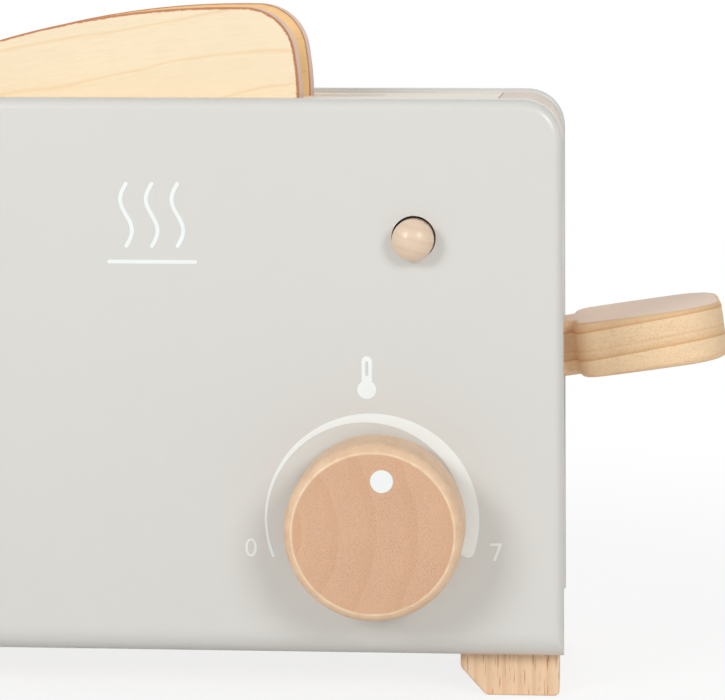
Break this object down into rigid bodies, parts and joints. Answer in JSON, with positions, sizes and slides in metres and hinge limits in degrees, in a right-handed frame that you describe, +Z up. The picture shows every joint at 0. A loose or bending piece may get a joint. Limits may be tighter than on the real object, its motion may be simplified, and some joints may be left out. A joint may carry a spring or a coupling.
{
  "type": "toy toaster",
  "caption": "Wooden play toaster: painted box case with toast slots, a rocking side lever that lifts the slices, a dial knob and a sprung push button.",
  "frame": {"origin": "under the middle of the whole object's box, on the plane of the foot soles", "axes": "+X to the right of someone who faces the dial, along the case and out through the lever; +Y from the dial side to the back; +Z up"},
  "size_m": [0.2226, 0.0958, 0.153],
  "materials": {
    "grey_paint": "satin warm light grey paint on board",
    "pale_wood": "fine sanded, clear lacquer",
    "cream_wood": "fine sanded, clear lacquer",
    "beech": "fine sanded",
    "foot_wood": "sanded, open pores",
    "pine": "sanded, clear lacquer",
    "toast_wood": "pale face, brown painted rim",
    "knob_wood": "sanded, clear lacquer",
    "zinc_steel": "zinc plated",
    "spring_steel": "bright wire",
    "felt": "wool felt"
  },
  "bodies": {
    "case": {"front_panel": "grey_paint", "back_panel": "grey_paint", "left_side_board": "pale_wood", "right_side_board": "pale_wood", "top_board": "cream_wood", "bottom_board": "pale_wood", "slot_divider": "pale_wood", "frame_dowels": "beech", "panel_dowels": "beech", "back_screws": "zinc_steel", "foot_screws": "zinc_steel", "foot_front_left": "foot_wood", "foot_front_right": "foot_wood", "foot_rear_left": "foot_wood", "foot_rear_right": "foot_wood", "pivot_pin": "zinc_steel", "rest_dowel": "beech", "button_guide": "beech", "button_spring": "spring_steel"},
    "lever": {"lever": "pine", "toast_carrier": "beech", "carrier_screws": "zinc_steel"},
    "toast_front": {"toast_front": "toast_wood"},
    "toast_rear": {"toast_rear": "toast_wood"},
    "knob": {"dial_knob": "knob_wood", "knob_axle": "beech", "knob_washer": "felt", "inner_washer": "felt", "knob_retainer": "beech", "retainer_pin": "zinc_steel"},
    "button": {"push_button": "beech", "button_collar": "beech"}
  },
  "joints": [
    {"name": "lever_rock", "type": "hinge", "parent": "case", "child": "lever", "pos_m": [0.04767, 0.0079, 0.0704], "axis": [0, 1, 0], "range_deg": [0, 13]},
    {"name": "toast_front_lift", "type": "slide", "parent": "lever", "child": "toast_front", "axis": [-0.1478, 0, 0.989], "range_m": [0, 0.09]},
    {"name": "toast_rear_lift", "type": "slide", "parent": "lever", "child": "toast_rear", "axis": [-0.1478, 0, 0.989], "range_m": [0, 0.09]},
    {"name": "knob_turn", "type": "hinge", "parent": "case", "child": "knob", "pos_m": [0.03397, -0.0321, 0.0408], "axis": [0, -1, 0], "continuous": true},
    {"name": "button_press", "type": "slide", "parent": "case", "child": "button", "axis": [0, 1, 0], "range_m": [0, 0.004], "stiffness_N_per_m": 250, "springref_m": -0.004, "deforming": ["button_spring"]}
  ]
}
